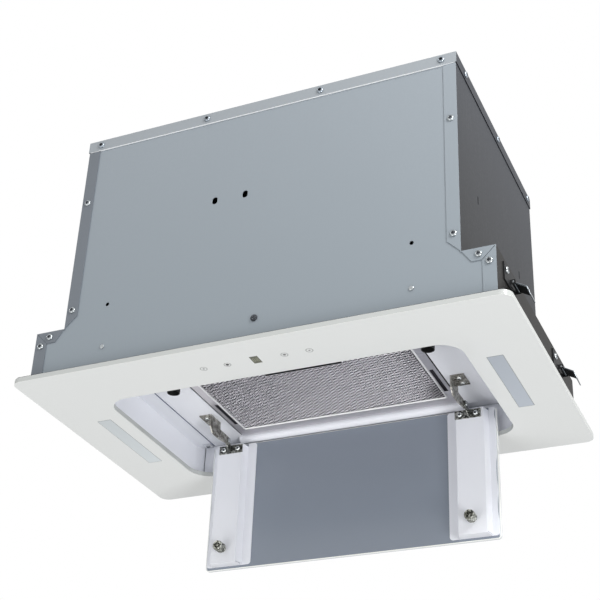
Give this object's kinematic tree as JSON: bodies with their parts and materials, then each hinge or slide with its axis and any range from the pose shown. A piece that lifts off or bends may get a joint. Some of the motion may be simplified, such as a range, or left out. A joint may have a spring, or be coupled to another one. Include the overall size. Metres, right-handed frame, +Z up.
{
  "type": "built-in range hood",
  "caption": "Built-in range hood: glass panel under a galvanised case, with a hinged suction door, tilting grease filter, lamps, fan, duct collar and spring clips.",
  "frame": {"origin": "middle of the glass panel, on the plane where the rim bears on the underside of the cabinet", "axes": "+X to the right as seen from the front, +Y to the rear (the wall), +Z up into the cabinet"},
  "size_m": [0.6122, 0.374, 0.517],
  "materials": {
    "white_glass": "white back-painted glass, ground edge",
    "grey_back_glass": "glass painted slate grey on its back",
    "lamp_lens": "frosted diffuser, unlit",
    "display": "dark tinted window",
    "ring_mark": "grey touch mark",
    "galvanised": "matt galvanised sheet, fine spangle",
    "galvanised_dark": "matt galvanised sheet, fine spangle",
    "white_sheet": "white powder coat on sheet steel",
    "zinc": "zinc plated steel",
    "spring_steel": "bright spring steel",
    "dark_screw": "blackened steel",
    "filter_alu": "bright expanded aluminium",
    "shaft_steel": "ground steel",
    "black_plastic": "black moulded plastic",
    "pale_plastic": "pale moulded plastic",
    "board_green": "circuit board",
    "board_white": "white lamp board",
    "motor_grey": "grey enamelled motor",
    "foam": "closed-cell foam strip"
  },
  "bodies": {
    "hood": {"glass_panel": "white_glass", "rim_seal": "foam", "panel_frame": "galvanised", "front_plate": "galvanised", "rear_plate": "galvanised", "left_side_panel": "galvanised_dark", "right_side_panel": "galvanised_dark", "top_lid": "galvanised", "lid_screws": "zinc", "case_screws": "zinc", "front_rivets": "zinc", "front_screw": "dark_screw", "recess_tray": "white_sheet", "recess_rear_plate": "white_sheet", "filter_surround": "white_sheet", "recess_screws": "zinc", "left_lamp_lens": "lamp_lens", "right_lamp_lens": "lamp_lens", "lamp_housings": "pale_plastic", "lamp_boards": "board_white", "touch_board": "board_green", "display_window": "display", "touch_rings": "ring_mark", "left_hinge_bracket": "zinc", "right_hinge_bracket": "zinc", "hinge_pins": "zinc", "bracket_screws": "zinc", "catch_sockets": "black_plastic", "scroll_wrap": "galvanised", "left_scroll_plate": "galvanised", "right_scroll_plate": "galvanised", "motor": "motor_grey", "motor_bracket": "galvanised", "duct_collar": "pale_plastic", "flap_rod": "shaft_steel", "control_box": "pale_plastic", "control_board": "board_green", "capacitor": "pale_plastic", "cable_gland": "black_plastic", "clip_bases": "spring_steel", "clip_pins": "shaft_steel"},
    "door": {"door_glass": "grey_back_glass", "left_door_rail": "white_sheet", "right_door_rail": "white_sheet", "left_hinge_leaf": "zinc", "right_hinge_leaf": "zinc", "leaf_screws": "zinc", "catch_studs": "zinc"},
    "grease_filter": {"filter_frame": "filter_alu", "filter_core": "filter_alu", "filter_mesh": "filter_alu"},
    "filter_catch": {"filter_latch": "black_plastic"},
    "fan_wheel": {"impeller": "galvanised", "motor_shaft": "shaft_steel"},
    "flap_left": {"left_flap": "black_plastic"},
    "flap_right": {"right_flap": "black_plastic"},
    "clip_front_left": {"front_left_clip": "spring_steel"},
    "clip_front_right": {"front_right_clip": "spring_steel"},
    "clip_rear_left": {"rear_left_clip": "spring_steel"},
    "clip_rear_right": {"rear_right_clip": "spring_steel"}
  },
  "joints": [
    {"name": "door_hinge", "type": "hinge", "parent": "hood", "child": "door", "pos_m": [0, 0.1, 0.023], "axis": [-1, 0, 0], "range_deg": [0, 90]},
    {"name": "filter_tilt", "type": "hinge", "parent": "hood", "child": "grease_filter", "pos_m": [0, 0.119, 0.0408], "axis": [-1, 0, 0], "range_deg": [-45, 0]},
    {"name": "filter_latch_slide", "type": "slide", "parent": "grease_filter", "child": "filter_catch", "axis": [0, 1, 0], "range_m": [0, 0.004], "stiffness_N_per_m": 400},
    {"name": "fan_spin", "type": "hinge", "parent": "hood", "child": "fan_wheel", "pos_m": [0, -0.014, 0.185], "axis": [1, 0, 0], "continuous": true},
    {"name": "left_flap_lift", "type": "hinge", "parent": "hood", "child": "flap_left", "pos_m": [0, 0.05925, 0.348], "axis": [0, 1, 0], "range_deg": [0, 80]},
    {"name": "right_flap_lift", "type": "hinge", "parent": "hood", "child": "flap_right", "pos_m": [0, 0.05925, 0.348], "axis": [0, -1, 0], "range_deg": [0, 80]},
    {"name": "front_left_clip_flex", "type": "hinge", "parent": "hood", "child": "clip_front_left", "pos_m": [-0.2885, -0.117, 0.04], "axis": [0, -1, 0], "range_deg": [0, 30], "stiffness_Nm_per_rad": 0.6},
    {"name": "rear_left_clip_flex", "type": "hinge", "parent": "hood", "child": "clip_rear_left", "pos_m": [-0.2885, 0.086, 0.04], "axis": [0, -1, 0], "range_deg": [0, 30], "stiffness_Nm_per_rad": 0.6},
    {"name": "front_right_clip_flex", "type": "hinge", "parent": "hood", "child": "clip_front_right", "pos_m": [0.2885, -0.117, 0.04], "axis": [0, 1, 0], "range_deg": [0, 30], "stiffness_Nm_per_rad": 0.6},
    {"name": "rear_right_clip_flex", "type": "hinge", "parent": "hood", "child": "clip_rear_right", "pos_m": [0.2885, 0.086, 0.04], "axis": [0, 1, 0], "range_deg": [0, 30], "stiffness_Nm_per_rad": 0.6}
  ]
}
